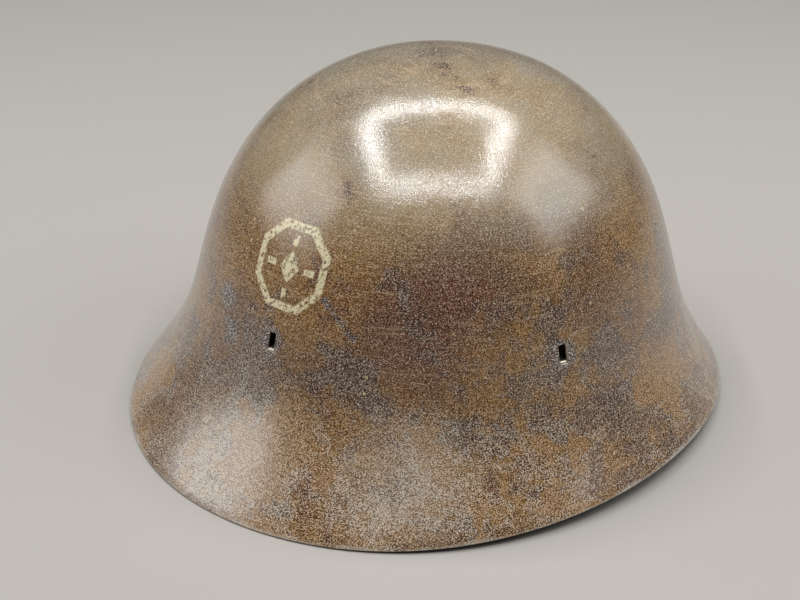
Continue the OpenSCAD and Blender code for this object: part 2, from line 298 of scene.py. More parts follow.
def wire(name, points, radius, cyclic=False, roundness=2):
    """A round wire along the points."""
    curve = bpy.data.curves.new(name, "CURVE")
    curve.dimensions = "3D"
    curve.bevel_depth = radius
    curve.bevel_resolution = roundness
    curve.use_fill_caps = not cyclic
    line = curve.splines.new("POLY")
    line.points.add(len(points) - 1)
    for point, place in zip(line.points, points):
        point.co = (*place, 1)
    line.use_cyclic_u = cyclic
    obj = bpy.data.objects.new(name, curve)
    bpy.context.scene.collection.objects.link(obj)
    select_only(obj)
    bpy.ops.object.convert(target="MESH")
    return closed(bpy.context.object)


def rounded(points, radius, steps=4):
    """The points of a path in a plane, with each corner rounded off."""
    path = [points[0]]
    for before, corner, after in zip(points, points[1:], points[2:]):
        corner = Vector(corner)
        back, on = Vector(before) - corner, Vector(after) - corner
        reach = min(radius, back.length / 2, on.length / 2)
        start, end = corner + back.normalized() * reach, corner + on.normalized() * reach
        for i in range(steps + 1):
            share = i / steps
            path.append(tuple(start.lerp(corner, share).lerp(corner.lerp(end, share), share)))
    return path + [points[-1]]


def arc(centre, radius, start, end, steps):
    """Points of an arc in a plane, between two angles in degrees."""
    angles = [radians(start + (end - start) * i / steps) for i in range(steps + 1)]
    return [(centre[0] + radius * cos(a), centre[1] + radius * sin(a)) for a in angles]


def finished(obj, slot, material, *nodes, body="root", smooth=40):
    """Gives a piece its material, its body and its smooth faces, and hides the solids it stands for; the slot
    is not used.
    """
    if material:
        obj.data.materials.clear()
        obj.data.materials.append(material)
    select_only(obj)
    bpy.ops.object.shade_smooth_by_angle(angle=radians(smooth))
    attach(obj, body)
    if nodes:
        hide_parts(*nodes)
    return obj


# Ways of making a material
def srgb(code):
    """The linear colour of an sRGB hex code such as '#7a5a30'."""
    shares = [int(code[i:i + 2], 16) / 255 for i in (1, 3, 5)]
    return tuple(v / 12.92 if v <= 0.04045 else ((v + 0.055) / 1.055) ** 2.4 for v in shares) + (1.0,)


def socket(sockets, key):
    if isinstance(key, int):
        return sockets[key]
    return next(s for s in sockets if s.enabled and s.name == key)


def add_node(tree, kind, inputs, output=0, **settings):
    """Adds a node with its settings and returns one of its outputs. Its inputs are given by name, or in their
    order: for a MapRange the value, the range that it comes from and the range that it goes to."""
    node = tree.nodes.new("ShaderNode" + kind)
    for key, value in settings.items():
        setattr(node, key, value)
    for key, value in inputs.items() if isinstance(inputs, dict) else enumerate(inputs):
        target = socket(node.inputs, key)
        if isinstance(value, bpy.types.NodeSocket):
            tree.links.new(value, target)
        else:
            target.default_value = value
    if output == 0:
        return next((s for s in node.outputs if s.enabled), None)
    return socket(node.outputs, output)


def per_mm(size):
    """The scale of a texture whose features are so many millimetres across."""
    return 1 / (size * MM)


def new_material(name):
    """An empty material, and the function that adds a node to it."""
    material = bpy.data.materials.new(name)
    material.use_nodes = True
    material.node_tree.nodes.clear()
    return material, partial(add_node, material.node_tree)


def off_by(add, value, middle):
    """How far a value lies from middle, to either side."""
    return add("Math", (add("Math", (value, middle), operation="SUBTRACT"),), operation="ABSOLUTE")


def shaded(add, colour, share):
    """The colour made darker or lighter by a share, of which 1 leaves it as it is."""
    share = add("CombineColor", {"Red": share, "Green": share, "Blue": share})
    return add("Mix", {"Factor": 1.0, "A": colour, "B": share}, **COLOURS, blend_type="MULTIPLY")


def surface(add, inputs):
    """Ends a material in a Principled shader."""
    add("OutputMaterial", {"Surface": add("BsdfPrincipled", inputs)})


# Settings that many nodes share; TIMES_PLUS adds its third value to the product of the first two
COLOURS = {"data_type": "RGBA"}
SMOOTH = {"interpolation_type": "SMOOTHSTEP"}
TIMES = {"operation": "MULTIPLY"}
TIMES_PLUS = {"operation": "MULTIPLY_ADD"}
LARGER = {"operation": "MAXIMUM"}


# Old oil paint on pressed steel, brown to ochre, over the pitted grain of the sheet. It is rubbed thin in
# clouds and at a few golden places, gone to rust in blotches and to dark, brightly flecked steel round the
# slots and low on the wall, and has tan islands of sounder paint and pale dust on the flare. Light is painted
# into its colour as well: an olive painted sheen of the light overhead on the crown, a pale painted sheen and
# painted reflection on the flare among the dust, and painted shade and glints in the grain's dark pits and
# bright flecks. The eye sees a satin surface with a strong fine speckle, and light that ripples a little on
# the pressed sheet. The grain of the real sheet is about 0.4 mm, and is drawn a little coarser.
# Of these tones, the crown's olive is a painted sheen of the light overhead, the palest flecks are painted
# glints of bare steel, and the palest tone is dust with a painted sheen
OUTSIDE_TONES = {
    "paint": "#6c4516", "thin": "#8f6523", "rust": "#673a1f", "painted_crown_sheen": "#b2ad96", "isle": "#966e3c",
    "worn": "#432a26", "low": "#583f33", "steel": "#36252a", "fleck": "#cfb793", "glint": "#e6dcd4",
    "powder_and_sheen": "#dcd2c4", "chip": "#dccb9e"}
# The inside's tones are the outside's made darker: painted shade of the hollow
DARKENED_INNER_TONES = {
    "paint": "#47351f", "thin": "#5c4520", "rust": "#3d2415", "painted_crown_sheen": "#544b38", "isle": "#5f4a32",
    "worn": "#2f2420", "low": "#40332b", "steel": "#2b2628", "fleck": "#85776a", "glint": "#8f8a8c",
    "powder_and_sheen": "#8f8777", "chip": "#7d7050"}
# The noise that the wear follows: its size in mm, its detail and its roughness
CLOUDS = (60, 4, 0.6)
ISLES = (34, 6, 0.6)
BLOTCHES = (22, 8, 0.65)
RIPPLE = (13, 1, 0.5)
PEEL = (3.2, 2, 0.5)
# Sizes in mm of the chips, of the flakes lost from the mark, and of the grain
CHIPS = 8
FLAKES = 1.6
GRAIN = 0.46
# Where the outside is golden, rusted, bared to the steel, and pale with dust and a painted reflection of the
# light: a place in mm, and the distances from it at which each starts to fade and ends
GILDED = (((41, -84, 105), 8, 34), ((-49, -67, 122), 8, 34), ((98, 25, 98), 6, 40), ((66, 56, 126), 6, 32))
RUSTED = (((64, -76, 92), 6, 34), ((60, -84, 76), 5, 45), ((-60, 80, 70), 5, 50))
BARED = (((-33, -100, 73), 2, 9), ((-26, -106, 60), 2, 9), ((-5, 7, 161), 3, 13))
POWDER_AND_SHEEN_PLACES = (
    ((-11, -134, 17), 12, 58), ((-18, -144, 6), 6, 34), ((70, -107, 24), 10, 40), ((-100, 60, 20), 10, 60))
# How far a worn border wanders, as a share of those two distances
RAGGED = 0.4
# The ring of bared steel round a slot, and a scratch of bared spots below the mark
SLOT_RING = (3, 8)
SCRATCH_START = (22, -97.5, 88)
SCRATCH_END = (37, -97.5, 75)
SCRATCH_SPOT = (0.5, 2.6)
SCRATCH_SPOTS = 7


def worn_near(add, coords, ragged, places):
    """1 near each place and 0 far from all of them, with borders that wander with the noise ragged."""
    worn = None
    for place, near, far in places:
        wander = RAGGED * (near + far) * MM
        away = add("VectorMath", (coords, Vector(place) * MM), "Value", operation="DISTANCE")
        away = add("Math", (ragged, 2 * wander, away), **TIMES_PLUS)
        start, end = wander + near * MM, wander + far * MM
        share = add("MapRange", (away, start, end, 1, 0), **SMOOTH)
        worn = add("Math", (worn, share), **LARGER) if worn else share
    return worn


def bare_places():
    """The bare spots of the outside, with a ring round each slot and the scratch."""
    places = list(BARED)
    for angle in SLOT_ANGLES.values():
        t = radians(angle)
        places.append((around(t, wall_r(t, SLOT_LEVEL), SLOT_LEVEL) / MM, *SLOT_RING))
    for i in range(SCRATCH_SPOTS):
        spot = Vector(SCRATCH_START).lerp(Vector(SCRATCH_END), i / (SCRATCH_SPOTS - 1))
        places.append((spot, *SCRATCH_SPOT))
    return places


# A worn stencil on the front in cream oil paint: an eight-sided frame round a lozenge and four ticks
MARK_X = 1.5 * MM
MARK_Z = 96.5 * MM
MARK_HALF_WIDTH = 19 * MM
MARK_HALF_HEIGHT = 17.5 * MM
MARK_CORNER = 1.45
MARK_STROKE = 0.2
MARK_LOZENGE = (5.2 * MM, 6.5 * MM)
MARK_TICKS = (((10.5 * MM, 0), (2.6 * MM, 1.3 * MM)), ((0, 10.5 * MM), (1.3 * MM, 2 * MM)))
MARK_CREAM = "#ece2b8"


def stencil(add, coords):
    """The share of the stencil's paint that is left."""
    flakes = add("TexNoise", {"Vector": coords, "Scale": per_mm(FLAKES), "Detail": 3, "Roughness": 0.7})
    x, y, z = (add("SeparateXYZ", {"Vector": coords}, axis) for axis in "XYZ")
    across = off_by(add, x, MARK_X)
    up = off_by(add, z, MARK_Z)
    # The frame: how far out a point lies, where 1 is its outer edge
    wide = add("Math", (across, MARK_HALF_WIDTH), operation="DIVIDE")
    high = add("Math", (up, MARK_HALF_HEIGHT), operation="DIVIDE")
    corner = add("Math", (wide, high), operation="ADD")
    corner = add("Math", (corner, MARK_CORNER), operation="DIVIDE")
    reach = add("Math", (wide, high), **LARGER)
    reach = add("Math", (reach, corner), **LARGER)
    off = off_by(add, reach, 1 - MARK_STROKE / 2)
    ragged = add("Math", (flakes, 0.5), operation="SUBTRACT")
    off = add("Math", (ragged, 0.4 * MARK_STROKE, off), **TIMES_PLUS)
    mark = add("MapRange", (off, 0.42 * MARK_STROKE, 0.52 * MARK_STROKE, 1, 0))
    # The lozenge and the ticks: each is 1 at its edge
    run = add("Math", (across, MARK_LOZENGE[0]), operation="DIVIDE")
    rise = add("Math", (up, MARK_LOZENGE[1]), operation="DIVIDE")
    figures = [add("Math", (run, rise), operation="ADD")]
    for middle, halves in MARK_TICKS:
        sides = []
        for value, centre, half in zip((across, up), middle, halves):
            sides.append(add("Math", (off_by(add, value, centre), half), operation="DIVIDE"))
        figures.append(add("Math", sides, **LARGER))
    for figure in figures:
        figure = add("MapRange", (figure, 0.9, 1.1, 1, 0))
        mark = add("Math", (mark, figure), **LARGER)
    front = add("Math", (y, 0), operation="LESS_THAN")
    mark = add("Math", (mark, front), **TIMES)
    left = add("MapRange", (flakes, 0.4, 0.5))
    return add("Math", (mark, left), **TIMES)


def aged_paint(name, tones, outside):
    tones = {part: srgb(code) for part, code in tones.items()}
    material, add = new_material(name)
    coords = add("TexCoord", {}, "Object")
    height = add("SeparateXYZ", {"Vector": coords}, "Z")
    clouds, isles, blotches, ripple, peel = (
        add("TexNoise", {"Vector": coords, "Scale": per_mm(size), "Detail": detail, "Roughness": rough})
        for size, detail, rough in (CLOUDS, ISLES, BLOTCHES, RIPPLE, PEEL))
    # The grain lies flatter than it is wide
    flat = add("Mapping", {"Vector": coords, "Scale": (0.8, 0.8, 1.4)})
    grain = add("TexNoise", {"Vector": flat, "Scale": per_mm(GRAIN), "Detail": 0})

    # Where each tone lies, as shares from 0 to 1: first the clouds, the rust and the painted sheen of the
    # calm crown
    thin = add("MapRange", (clouds, 0.42, 0.58), **SMOOTH)
    rust = add("MapRange", (blotches, 0.54, 0.66, 0, 0.85), **SMOOTH)
    calm = add("MapRange", (height, 95 * MM, 135 * MM, 0, 0.9), **SMOOTH)
    painted_crown_sheen = add("Math", (calm, blotches), **TIMES)
    # Islands of sounder paint on the flare, with their shores
    on_flare = add("MapRange", (height, 58 * MM, 38 * MM), **SMOOTH)
    isle = add("MapRange", (isles, 0.52, 0.56), **SMOOTH)
    isle = add("Math", (isle, on_flare), **TIMES)
    shore = add("Math", (isles, 0.51, 0.025), operation="COMPARE")
    shore = add("Math", (shore, on_flare), **TIMES)
    # Bare steel, more of it lower down, and less again near the rim
    wear = add("MapRange", (height, 120 * MM, 50 * MM, 0.06, -0.1))
    wear = add("Math", (blotches, wear), operation="ADD")
    sounder = add("MapRange", (height, 40 * MM, 22 * MM, 0, 0.06))
    wear = add("Math", (wear, sounder), operation="ADD")
    bare = add("MapRange", (wear, 0.48, 0.36, 0, 0.8), **SMOOTH)
    sound = add("Math", (1, isle), operation="SUBTRACT")
    bare = add("Math", (bare, sound), **TIMES)
    low = add("MapRange", (height, 48 * MM, 20 * MM), **SMOOTH)
    tones["worn"] = add("Mix", {"Factor": low, "A": tones["worn"], "B": tones["low"]}, **COLOURS)
    # Dust on the flare and along the shores, with a pale painted sheen of the light on the upturned flare
    powder_and_sheen = add("MapRange", (height, 60 * MM, 10 * MM, 0, 0.3), **SMOOTH)
    cover = add("MapRange", (blotches, 0.34, 0.66), **SMOOTH)
    powder_and_sheen = add("Math", (powder_and_sheen, cover), **TIMES)
    powder_and_sheen = add("Math", (shore, 0.5, powder_and_sheen), **TIMES_PLUS)
    # The places that are worn on the outside alone, and the painted reflection on the flare
    painted_reflection = 0
    stripped = 0
    if outside:
        placed = worn_near(add, coords, clouds, GILDED)
        thin = add("Math", (thin, placed), **LARGER)
        placed = worn_near(add, coords, clouds, RUSTED)
        rust = add("Math", (rust, placed), **LARGER)
        stripped = worn_near(add, coords, peel, bare_places())
        hidden = add("MapRange", (calm, 0, 1, 1, 0.4))
        stripped = add("Math", (stripped, hidden), **TIMES)
        # At these places the flare is pale with dust, and washed with a painted reflection of the light
        placed = worn_near(add, coords, blotches, POWDER_AND_SHEEN_PLACES)
        powder_and_sheen = add("Math", (placed, 0.4, powder_and_sheen), **TIMES_PLUS)
        painted_reflection = add("Math", (placed, 0.15), **TIMES)
    # Chips, long level scratches and a pale line along the edge of the rim
    chips = add("TexVoronoi", {"Vector": coords, "Scale": per_mm(CHIPS)}, "Distance")
    chips = add("Math", (peel, 0.14, chips), **TIMES_PLUS)
    chips = add("MapRange", (chips, 0.125, 0.155, 1, 0))
    sparse = add("MapRange", (isles, 0.49, 0.45, 0, 0.8))
    chips = add("Math", (chips, sparse), **TIMES)
    level = add("Mapping", {"Vector": coords, "Scale": (0.05, 0.05, 1.8)})
    scratches = add("TexNoise", {"Vector": level, "Scale": per_mm(1), "Detail": 1})
    scratches = add("MapRange", (scratches, 0.62, 0.7, 0, 0.3))
    rim = add("SeparateXYZ", {"Vector": add("TexCoord", {}, "UV")}, "Y")
    rim = add("Math", (blotches, 0.02, rim), **TIMES_PLUS)
    rim = add("MapRange", (rim, 0.009, 0.014, 0.5, 0))

    # The tones over each other, with the pits of the grain: darker pits and lighter crests, partly the
    # grain's own speckle and partly painted shade and glints
    colour = tones["paint"]
    for share, tone in ((thin, "thin"), (rust, "rust"), (painted_crown_sheen, "painted_crown_sheen"), (isle, "isle"), (bare, "worn"),
                        (stripped, "steel")):
        colour = add("Mix", {"Factor": share, "A": colour, "B": tones[tone]}, **COLOURS)
    grain_shade_and_glint = add("MapRange", (grain, 0.36, 0.6, 0.3, 1.5))
    grain_shade_and_glint = add("Mix", {"Factor": calm, "A": grain_shade_and_glint, "B": 0.95})
    colour = shaded(add, colour, grain_shade_and_glint)
    # Bright flecks lie on all of it, fewest under the painted sheen of the crown and most on the bare steel;
    # they are partly painted glints of the grain
    flecked = add("MapRange", (calm, 0, 1, 0.2, 0.03))
    flecked = add("Math", (bare, 0.4, flecked), **TIMES_PLUS)
    flecked = add("Math", (stripped, 0.6, flecked), **TIMES_PLUS, use_clamp=True)
    fleck = add("MapRange", (grain, 0.58, 0.62))
    fleck = add("Math", (fleck, flecked), **TIMES)
    metal = add("Math", (bare, 0.5, stripped), **TIMES_PLUS, use_clamp=True)
    tones["bright"] = add("Mix", {"Factor": metal, "A": tones["fleck"], "B": tones["glint"]}, **COLOURS)
    # Dust settles on the crests of the grain; its pale specks are also a painted sheen on the flare
    powder_specks = add("Math", (powder_and_sheen, 0.2, grain), **TIMES_PLUS)
    powder_specks = add("MapRange", (powder_specks, 0.62, 0.74, 0, 0.66))
    for share, tone in ((fleck, "bright"), (powder_specks, "powder_and_sheen"), (painted_reflection, "powder_and_sheen"), (scratches, "fleck"),
                        (chips, "chip"), (rim, "powder_and_sheen")):
        colour = add("Mix", {"Factor": share, "A": colour, "B": tones[tone]}, **COLOURS)

    relief = add("Math", (peel, 0.35, grain), **TIMES_PLUS)
    relief = add("Math", (ripple, 4, relief), **TIMES_PLUS)
    if outside:
        mark = stencil(add, coords)
        colour = add("Mix", {"Factor": mark, "A": colour, "B": srgb(MARK_CREAM)}, **COLOURS)
        relief = add("Math", (mark, 0.3, relief), **TIMES_PLUS)
    roughness = add("MapRange", (grain, 0.38, 0.62, 0.26, 0.5))
    bump = add("Bump", {"Height": relief, "Strength": 1, "Distance": 0.05 * MM})
    surface(add, {
        "Base Color": colour, "Roughness": roughness, "Normal": bump,
        "Coat Weight": 0.9, "Coat IOR": 1.75, "Coat Roughness": 0.12, "Coat Normal": bump})
    return material


# Cowhide, tanned with bark and oiled: pores of about 1 mm, drawn twice as coarse as they are, creases,
# dark blotches where sweat and oil soaked in, and edges burnished dark. The eye sees a dull sheen.
def old_leather(name, tan, dark, rubbed, gloss):
    material, add = new_material(name)
    coords = add("TexCoord", {}, "Object")
    stains = add("TexNoise", {"Vector": coords, "Scale": per_mm(26), "Detail": 5, "Roughness": 0.65})
    creases = add("TexNoise", {"Vector": coords, "Scale": per_mm(6), "Detail": 4, "Distortion": 0.6})
    pores = add("TexVoronoi", {"Vector": coords, "Scale": per_mm(1)}, "Distance")
    soaked = add("MapRange", (stains, 0.42, 0.7, 0, 0.8), **SMOOTH)
    colour = add("Mix", {"Factor": soaked, "A": srgb(tan), "B": srgb(dark)}, **COLOURS)
    raised = add("MapRange", (creases, 0.5, 0.75, 0, 0.45), **SMOOTH)
    colour = add("Mix", {"Factor": raised, "A": colour, "B": srgb(rubbed)}, **COLOURS)
    # The burnished edges, by the distance from the middle of the sheet
    edge = None
    for axis in ("X", "Y"):
        share = add("SeparateXYZ", {"Vector": add("TexCoord", {}, "UV")}, axis)
        share = off_by(add, share, 0.5)
        edge = add("Math", (edge, share), **LARGER) if edge else share
    edge = add("MapRange", (edge, 0.465, 0.5, 0, 0.75), **SMOOTH)
    colour = add("Mix", {"Factor": edge, "A": colour, "B": srgb(dark)}, **COLOURS)
    shade = add("MapRange", (pores, 0, 0.7, 0.72, 1.15))
    colour = shaded(add, colour, shade)
    relief = add("Math", (creases, 1.6, pores), **TIMES_PLUS)
    bump = add("Bump", {"Height": relief, "Strength": 0.6, "Distance": 0.25 * MM})
    roughness = add("MapRange", (stains, 0.3, 0.7, gloss + 0.12, gloss - 0.08))
    surface(add, {"Base Color": colour, "Roughness": roughness, "Normal": bump, "Specular IOR Level": 0.45})
    return material


# Bare steel, drawn or cut, that has stood for decades: dull grey metal with patches of brown rust.
RUST_BROWN = "#5b3a22"


def dulled_steel(name, metal, rusted):
    material, add = new_material(name)
    coords = add("TexCoord", {}, "Object")
    blotches = add("TexNoise", {"Vector": coords, "Scale": per_mm(5), "Detail": 6, "Roughness": 0.7})
    pitting = add("TexNoise", {"Vector": coords, "Scale": per_mm(0.7), "Detail": 2})
    spread = 0.3 * rusted
    rust = add("MapRange", (blotches, 0.62 - spread, 0.76 - spread), **SMOOTH)
    colour = add("Mix", {"Factor": rust, "A": srgb(metal), "B": srgb(RUST_BROWN)}, **COLOURS)
    shade = add("MapRange", (pitting, 0.3, 0.7, 0.7, 1.1))
    colour = shaded(add, colour, shade)
    metallic = add("MapRange", (rust, 0, 1, 1, 0))
    roughness = add("MapRange", (rust, 0, 1, 0.36, 0.85))
    relief = add("Math", (rust, 0.6, pitting), **TIMES_PLUS)
    bump = add("Bump", {"Height": relief, "Strength": 0.6, "Distance": 0.08 * MM})
    surface(add, {"Base Color": colour, "Metallic": metallic, "Roughness": roughness, "Normal": bump})
    return material


# Fibres: felt matted from wool, and cord and thread twisted from cotton and linen. The eye sees a matt,
# hairy surface with a soft bright edge. The fibres are drawn at the size given, coarse enough to show.
def fibres(name, light, dark, size, twist, sheen):
    material, add = new_material(name)
    coords = add("TexCoord", {}, "Object")
    hair = add("TexNoise", {"Vector": coords, "Scale": per_mm(size), "Detail": 3, "Distortion": twist})
    dirt = add("TexNoise", {"Vector": coords, "Scale": per_mm(12), "Detail": 3})
    mixed = add("Math", (dirt, 0.6, hair), **TIMES_PLUS)
    share = add("MapRange", (mixed, 0.62, 0.98))
    colour = add("Mix", {"Factor": share, "A": srgb(light), "B": srgb(dark)}, **COLOURS)
    bump = add("Bump", {"Height": hair, "Strength": 0.8, "Distance": 0.3 * size * MM})
    surface(add, {
        "Base Color": colour, "Roughness": 0.92, "Normal": bump, "Sheen Weight": sheen,
        "Sheen Roughness": 0.5, "Specular IOR Level": 0.2})
    return material


paint_outside = aged_paint("aged_oil_paint_on_pressed_steel", OUTSIDE_TONES, outside=True)
paint_inside = aged_paint("aged_oil_paint_inner_painted_darker", DARKENED_INNER_TONES, outside=False)
cut_edge = dulled_steel("cut_steel_edge_rubbed_bare", "#b3a793", 0.35)
tab_steel = dulled_steel("bent_steel_tab_rubbed_bare", "#c4bcae", 0.1)
wire_steel = dulled_steel("drawn_steel_wire", "#8f8b84", 0.15)
strip_steel = dulled_steel("rolled_steel_strip", "#827e77", 0.3)
band_leather = old_leather("oiled_cowhide_band", "#54331c", "#2c1a10", "#6d4a2e", 0.5)
strap_leather = old_leather("bark_tanned_cowhide_strap", "#7b5330", "#4a2f1b", "#946b43", 0.6)
thread = fibres("waxed_linen_thread", "#c2b18a", "#8b7650", 0.5, 1, 0.2)
cotton = fibres("twisted_cotton_cord", "#bcae8c", "#84714f", 0.45, 1.5, 0.4)
felt = fibres("pressed_wool_felt", "#7d776c", "#514c45", 0.8, 2.5, 0.6)


# The pressed bowl
# Each slot's edges are softened, and its lower end lies on the bend of the tab
SLOT_BEND = 1.0 * MM
SLOT_CORNER = 0.5 * MM
SLOT_EDGE = 0.3 * MM


def slot_cutter(t):
    """A plug in the shape of a slot, square to the wall, that widens at the outer skin."""
    depth, opened = 5 * MM, 1.5 * MM
    height = SLOT_HEIGHT + SLOT_BEND
    low, high = (around(t, wall_r(t, z), z) for z in (SLOT_BOTTOM - SLOT_BEND, SLOT_LEVEL + SLOT_HEIGHT / 2))
    up = (high - low).normalized()
    across = Vector((cos(t), sin(t), 0))
    place = Matrix((across, up, across.cross(up))).transposed().to_4x4()
    place.translation = (low + high) / 2
    cutter = primitive("slot_cutter", "plane", size=1)
    cutter.data.transform(Matrix.Diagonal((SLOT_WIDTH, height, 1, 1)))
    widen = (1 + 2 * opened / SLOT_WIDTH, 1 + 2 * opened / height, 1)
    extrude = bpy.ops.mesh.extrude_region_move
    edit(
        cutter,
        (bpy.ops.mesh.bevel, {"offset": SLOT_CORNER, "segments": 3, "affect": "VERTICES"}),
        (bpy.ops.transform.translate, {"value": (0, 0, -depth)}),
        (extrude, {"TRANSFORM_OT_translate": {"value": (0, 0, depth - SLOT_EDGE)}}),
        (extrude, {"TRANSFORM_OT_translate": {"value": (0, 0, opened)}}),
        (bpy.ops.transform.resize, {"value": widen}),
    )
    closed(cutter)
    cutter.data.transform(place)
    cutter.data.materials.append(cut_edge)
    return cutter


# How strongly the rows of the bowl's mesh crowd together at the crown, so that it stays round there
POLE_CROWDING = 1.8
BOWL_COLUMNS = 240
BOWL_ROWS = 120
# The unevenness of the pressed sheet: size of a swell in mm, and its height in mm
SWELLS = ((45, 0.3), (14, 0.06))


def make_shell():
    def lay(s, v):
        return skin((1 - v) ** POLE_CROWDING, TURN * s)
    bowl = laid("steel_shell", BOWL_COLUMNS, BOWL_ROWS, lay)
    edit(bowl, MERGE)
    outwards = [vertex.normal.copy() for vertex in bowl.data.vertices]
    for vertex, outward in zip(bowl.data.vertices, outwards):
        sway = sum(noise.noise(vertex.co * per_mm(size)) * swell for size, swell in SWELLS)
        vertex.co += outward * sway * MM
    for material in (paint_outside, paint_inside, cut_edge):
        bowl.data.materials.append(material)
    thickened(bowl, SHEET, 0.25 * MM, offset=-1, material_offset=1, material_offset_rim=2)
    cutters = joined("slot_cutters", [slot_cutter(radians(angle)) for angle in SLOT_ANGLES.values()])
    modified(
        bowl, "BOOLEAN", operation="DIFFERENCE", object=cutters, solver="EXACT", material_mode="TRANSFER")
    bpy.data.objects.remove(cutters)
    finished(bowl, "painted_shell", None, "shell")


# The tongue of sheet that each slot leaves, bent in over the slot's bottom edge and curled round the hoop
TAB_WIDTH = SLOT_WIDTH - 0.2 * MM
TAB_FOOT = 1.7 * MM
TAB_BEND = 0.9 * MM


def make_tab(place, angle):
    t = radians(angle)
    middle = SLOT_BOTTOM - SHEET / 2
    # The tab's foot lies a hair inside the middle of the shell's sheet
    foot, knee = ((wall_r(t, z) - 0.52 * SHEET, z) for z in (SLOT_BOTTOM - TAB_FOOT, middle))
    reach = hoop_reach(t)
    curl = arc((reach, HOOP_Z), WIRE_R + SNUG + SHEET / 2, 90, 290, 18)
    path = rounded([foot, knee, (reach, middle)], TAB_BEND, 6) + curl[1:]
    across = Vector((cos(t), sin(t), 0))

    def lay(s, point):
        return around(t, point[0], point[1]) + across * TAB_WIDTH * (s - 0.5)
    tab = thickened(laid_along("slot_tab_" + place, path, 3, lay), SHEET, 0.15 * MM)
    finished(tab, "painted_shell", tab_steel)


make_shell()
for place, angle in SLOT_ANGLES.items():
    make_tab(place, angle)


# The wire hoop, and the sleeve that its ends meet in
FERRULE_ANGLE = radians(125)
FERRULE_LENGTH = 15 * MM
FERRULE_WALL = 0.75 * MM
# The sleeve's crimps: where they lie and how far they spread, as shares of its half length, and their depth
CRIMPS = (-0.45, 0.45)
CRIMP_SPREAD = 0.12
CRIMP_DEPTH = 0.45 * MM
HOOP_GAP = 0.4 * MM
HOOP_STEPS = 240


def make_hoop():
    start = FERRULE_ANGLE + HOOP_GAP / 2 / HOOP_R
    span = TURN - HOOP_GAP / HOOP_R
    points = [on_oval(start + span * i / HOOP_STEPS, HOOP_R, HOOP_Z) for i in range(HOOP_STEPS + 1)]
    hoop = wire("liner_hoop_wire", points, WIRE_R, roundness=6)
    finished(hoop, "bare_steel", wire_steel, "liner_hoop")


def make_ferrule():
    half = FERRULE_LENGTH / 2 / HOOP_R
    shares = [-1, -0.995] + [i / 20 for i in range(-19, 20)] + [0.995, 1]

    def radius(share):
        if abs(share) == 1:
            return 0.9 * WIRE_R
        dip = sum(exp(-((share - crimp) / CRIMP_SPREAD) ** 2) for crimp in CRIMPS)
        return WIRE_R + FERRULE_WALL - CRIMP_DEPTH * dip

    def lay(s, share):
        ring = radius(share)
        outward = on_oval(FERRULE_ANGLE + half * share, HOOP_R + ring * cos(TURN * s), HOOP_Z)
        return outward + Vector((0, 0, ring * sin(TURN * s)))
    ferrule = closed(laid_along("hoop_ferrule_sleeve", shares, 28, lay))
    finished(ferrule, "bare_steel", strip_steel, "hoop_ferrule")


make_hoop()
make_ferrule()


# The sweatband's free lower edge is drawn in a little, and more below each rivet; in mm. It is wavy too: how
# many waves run round the band, where the first one starts, and their height in mm
EDGE_PULL = 0.5
RIVET_PULL = 0.3
RIVET_PULL_SPREAD = 0.09
WAVES = ((5, 1, 0.35), (11, 0, 0.25))


def band_r(t, height):
    """The middle of the band's leather, at a share of its height."""
    waves = sum(size * sin(count * t + start) for count, start, size in WAVES)
    apart = (((t - radians(a) + pi) % TURN - pi) for a in HANGER_ANGLES.values())
    pull = RIVET_PULL * sum(exp(-(angle / RIVET_PULL_SPREAD) ** 2) for angle in apart)
    return (BAND_IN + BAND_OUT) / 2 + (1 - height) ** 2 * (waves - pull - EDGE_PULL) * MM


def make_sweatband():
    slit = BAND_SLIT / BAND_OUT

    def lay(s, v):
        t = pi + slit / 2 + (TURN - slit) * s
        return on_oval(t, band_r(t, v), BAND_BOTTOM + (BAND_TOP - BAND_BOTTOM) * v)
    band = thickened(laid("sweatband_leather", 260, 16, lay), BAND_LEATHER, 0.5 * MM)
    finished(band, "band_leather", band_leather, "sweatband")


# A hanger, from its lower end outside, round the hoop and back down inside, and how far its faces stay apart
HANGER_FOOT = 6 * MM
HANGER_BEND = 1.2 * MM
FACE_GAP = 0.02 * MM


def make_hanger(place, angle):
    t = radians(angle)
    layer = HANGER_LEATHER / 2 + FACE_GAP
    bore = WIRE_R + SNUG + HANGER_LEATHER / 2
    bottom = RIVET_Z - HANGER_FOOT
    inner, outer = HANGER_IN + layer, HANGER_IN + 3 * layer
    pinch = degrees(asin(layer / bore))
    round_hoop = arc((HOOP_R, HOOP_Z), bore, 180 + pinch, 540 - pinch, 40)
    path = rounded([(outer, bottom), (outer, HOOP_Z - layer), round_hoop[0]], HANGER_BEND)
    path += round_hoop[1:-1]
    path += rounded([round_hoop[-1], (inner, HOOP_Z + layer), (inner, bottom + 0.4 * MM)], HANGER_BEND)
    half = HANGER_WIDTH / 2 / HOOP_R

    def lay(s, point):
        return on_oval(t + half * (2 * s - 1), point[0], point[1])
    strap = laid_along("hanger_strap_" + place, path, 8, lay)
    thickened(strap, HANGER_LEATHER - 0.05 * MM, 0.3 * MM)
    finished(strap, "strap_leather", strap_leather, "hanger_" + place)


RIVET_SHANK_R = 1.5 * MM
RIVET_FLAT = 0.7 * MM
RIVET_DOME = 1.5 * MM


